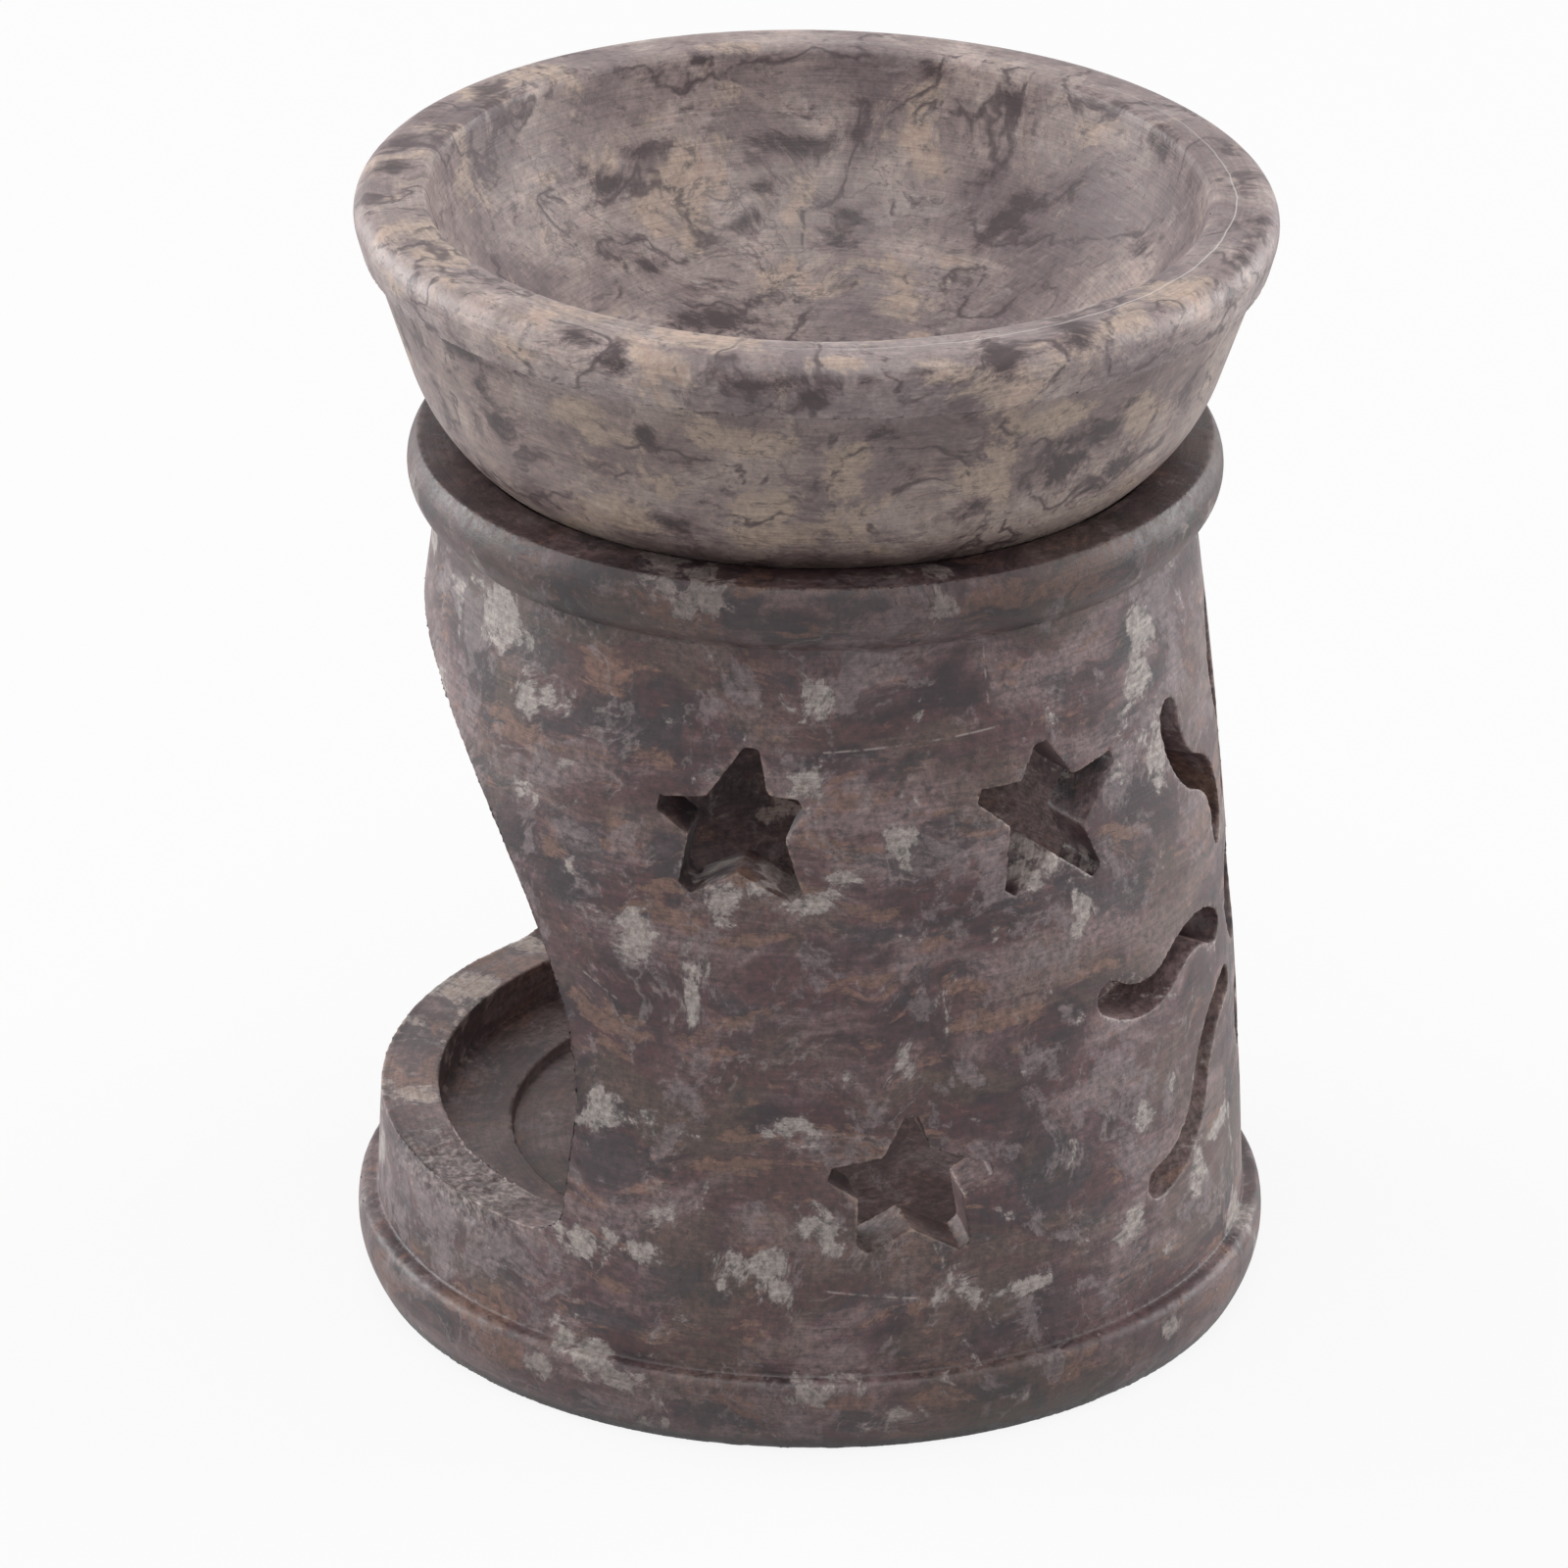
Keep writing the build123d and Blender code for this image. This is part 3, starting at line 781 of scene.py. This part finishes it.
def body_radii(heights):
    """The radius of the body's outside at each height, with its holes closed."""
    outside = np.where(heights < WALL_FOOT, BASE_RADIUS, wall_radii(heights))
    outside = np.where(heights < WALL_NECK, outside, COLLAR_RADIUS)
    return np.where((heights >= 0) & (heights < COLLAR_TOP), outside, 0.0)


def body_marks(spots):
    """Spots in the photograph as marks on the body, to the nearest degree, millimetre and tenth."""
    place, _ = camera_stand()
    marks = []
    for across, down, half_width, half_height in spots:
        path = np.array(place) / MM + np.outer(SIGHT_STEPS, sight(across, down))
        x, y, height = path[np.argmax(np.hypot(path[:, 0], path[:, 1]) < body_radii(path[:, 2]))]
        azimuth = math.degrees(math.atan2(x, -y))
        slant = max(LEAST_SLANT, math.cos(math.radians(azimuth - CAMERA_AZIMUTH)))
        sizes = (half_width / PIXELS_ACROSS / slant, half_height / PIXELS_UP)
        marks.append((round(azimuth), round(height), *(round(size, 1) for size in sizes)))
    return marks


def bowl_marks(spots):
    """Spots in the photograph as marks on the bowl, to the nearest degree, millimetre and tenth."""
    place, _ = camera_stand()
    shape = bmesh.new()
    shape.from_mesh(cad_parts["oil_bowl"].data)
    surface = BVHTree.FromBMesh(shape)
    shape.free()
    marks = []
    for across, down, half_width, half_height in spots:
        hit, normal, _, _ = surface.ray_cast(place, sight(across, down))
        azimuth = math.atan2(hit.x, -hit.y)
        along = Vector((math.cos(azimuth), math.sin(azimuth), 0))
        middle = pixels_from_middle(hit)
        steps = [pixels_from_middle(hit + way * MM) - middle for way in (along, normal.cross(along))]
        spread = np.linalg.inv(np.column_stack(steps)) * (half_width, half_height)
        radius, height = math.hypot(hit.x, hit.y) / MM, hit.z / MM
        sizes = [round(size, 1) for size in np.linalg.norm(spread, axis=1)]
        marks.append((round(math.degrees(azimuth)), round(radius), round(height), *sizes))
    return marks


def depths(points):
    """How deep each point lies under the skin of the chamber's wall; far outside it above and below."""
    radius = np.hypot(points[:, 0], points[:, 1])
    level = (points[:, 2] > CANDLE_FLOOR) & (points[:, 2] < WALL_NECK)
    return np.where(level, wall_radii(points[:, 2]) - radius, 0.0)


def inside_shares(points):
    """How much pale dust and painted light the stone is given: most in the candle chamber, less on the cut
    faces, 0 on the skin.
    """
    depth = depths(points)
    cut = np.clip(depth / WALL_SKIN - 1, 0, 1)
    return 0.75 * cut + 0.25 * np.clip(depth - WALL_THICKNESS + 1, 0, 1)


def sill_shares(points):
    """1 on the broken stretch of the arch's sill."""
    turn = azimuths(points)
    middle, half = (SILL_START + SILL_END) / 2, (SILL_END - SILL_START) / 2
    along = np.clip(1.6 - 1.6 * np.abs(turn - middle) / half, 0, 1)
    return along * np.clip(1.5 - np.abs(points[:, 2] - SILL_HEIGHT) / SILL_REACH, 0, 1)


def unbroken(points):
    """0 everywhere: the bowl has no broken stretch."""
    return np.zeros(len(points))


def sharp_places(node):
    """Points close together along a CAD node's sharp edges, each with the reach of its pull."""
    shape = bmesh.new()
    shape.from_mesh(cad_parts[node].data)
    bmesh.ops.remove_doubles(shape, verts=shape.verts, dist=WELD)
    places = []
    for edge in shape.edges:
        angle = math.degrees(edge.calc_face_angle(0.0))
        if angle > SHARP_ANGLE:
            reach = SHARP_REACH + FEATHER_REACH * max(0.0, angle - FEATHER_ANGLE)
            start, end = (vert.co / MM for vert in edge.verts)
            steps = max(1, round((end - start).length / EDGE_STEP))
            places += [(start.lerp(end, step / steps), reach) for step in range(steps)]
    shape.free()
    return places


def sharpen(piece, node):
    """Draw the points near the CAD's sharp edges onto them, since the remesh rounds these off."""
    places = sharp_places(node)
    near = KDTree(len(places))
    for index, (place, _) in enumerate(places):
        near.insert(place, index)
    near.balance()
    points = read_points(piece.data)
    for index, point in enumerate(points):
        place, which, away = near.find(point)
        reach = places[which][1]
        if away < reach:
            points[index] += min(1.0, 2 * (1 - away / reach)) * (np.array(place) - point)
    write_points(piece.data, points)
    shape = bmesh.new()
    shape.from_mesh(piece.data)
    bmesh.ops.remove_doubles(shape, verts=shape.verts, dist=EDGE_WELD * MM)
    shape.to_mesh(piece.data)
    shape.free()


def wear(piece, rough_shares):
    """Uneven faces, chipped edges and broken stone, all cut inwards; keeps the edges' shares."""
    mesh = piece.data
    points, normals = read_points(mesh), read_normals(mesh)
    lean = leans(mesh, points)
    edge = edge_shares(lean) * (np.hypot(points[:, 0], points[:, 1]) > SHELTER_RADIUS)
    chips = np.clip(4 * lumps(points, CHIP_SIZE, SEED) - 2.2, 0, 1)
    depth = UNEVEN_DEPTH * lumps(points, UNEVEN_SIZE, SEED + 1)
    depth += CHIP_DEPTH * chips * edge
    fine = CRUMB_FINE_SHARE * lumps(points, CRUMB_FINE_SIZE, SEED + 3)
    crumbs = (1 - CRUMB_FINE_SHARE) * lumps(points, CRUMB_SIZE, SEED + 2) + fine
    broken = rough_shares(points)
    depth += ROUGH_DEPTH * crumbs * broken
    depth *= np.clip(points[:, 2], 0, 1)
    write_points(mesh, points - normals * depth[:, None])
    # edge: where worn edges, lightened also as painted highlight, and chips go
    write_share(mesh, "edge", edge)
    # crease: painted shade and dirt
    write_share(mesh, "crease_shade_and_dirt", edge_shares(-lean))
    write_share(mesh, "broken", broken)


def under_shade_shares(points, normals):
    """Painted shade on the bowl's outside under the rim: 1 there, 0 on its rim and in its dish."""
    radius = np.maximum(np.hypot(points[:, 0], points[:, 1]), TINY)
    outwards = (points[:, 0] * normals[:, 0] + points[:, 1] * normals[:, 1]) / radius
    return np.clip(2 * outwards, 0, 1) * np.clip(BOWL_RIM - points[:, 2], 0, 1)


def lean_bowl(piece):
    """Settle the bowl in its seat and let its rim down on one side, as it sits in the photograph."""
    points = read_points(piece.data)
    points[:, 2] -= BOWL_SETTLE
    rise = np.clip((points[:, 2] - BOWL_KNEE) / (BOWL_RIM - BOWL_KNEE), 0, 1)
    points[:, 2] -= BOWL_LEAN * rise * (1 + points[:, 1] / BOWL_RADIUS)
    write_points(piece.data, points)


def dress(piece, body, node, material):
    """Hang a finished piece on its body in place of its CAD node."""
    piece.data.materials.append(material)
    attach(piece, body)
    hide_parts(node)


def make_body():
    piece = stone_piece("burner_body", "body_stone")
    points = read_points(piece.data)
    skin = np.clip((WALL_THICKNESS + 1 - depths(points)) / 2, 0, 1)
    pale = body_marks(PALE_SPOTS) + PALE_MARKS + scatter(SEED + 11, 70, *HIDDEN_BODY)
    rust = body_marks(RUST_SPOTS) + RUST_MARKS + scatter(SEED + 12, 45, *HIDDEN_BODY)
    dark = body_marks(DARK_SPOTS) + DARK_MARKS + scatter(SEED + 13, 40, *HIDDEN_BODY)
    plum = PLUM_MARKS + scatter(SEED + 16, 12, *HIDDEN_WALL)
    haze = HAZE_AND_SHEEN_MARKS + scatter(SEED + 17, 25, *HIDDEN_WALL)
    lists = {"pale": pale, "rust": rust, "dark": dark, "plum": plum, "haze": haze}
    for name, marks in lists.items():
        write_share(piece.data, name, mark_shares(points, marks) * skin)
    # inside: where pale dust and painted light go
    write_share(piece.data, "inside", inside_shares(points))
    wear(piece, sill_shares)
    dress(piece, "body", "burner_body", body_stone())


def make_bowl():
    piece = stone_piece("oil_bowl", "bowl_stone")
    points = read_points(piece.data)
    dark = bowl_marks(BOWL_DARK_SPOTS) + scatter(SEED + 14, 45, *HIDDEN_BOWL)
    cream = bowl_marks(BOWL_CREAM_SPOTS) + scatter(SEED + 15, 25, *HIDDEN_BOWL)
    for name, marks in (("dark", dark), ("cream", cream), ("scratch", RIM_SCRATCH_MARKS)):
        write_share(piece.data, name, mark_shares(points, marks))
    # under: where the bowl gets painted shade
    write_share(piece.data, "under", under_shade_shares(points, read_normals(piece.data)))
    wear(piece, unbroken)
    lean_bowl(piece)
    dress(piece, "bowl", "oil_bowl", bowl_stone())


make_camera()
make_world()
make_floor()
area_light("overhead", OVERHEAD_PLACE, OVERHEAD_POWER)
area_light("behind_left", LEFT_PLACE, LEFT_POWER)
area_light("behind_right", RIGHT_PLACE, RIGHT_POWER)
make_body()
make_bowl()

bpy.context.scene.view_settings.view_transform = "Standard"
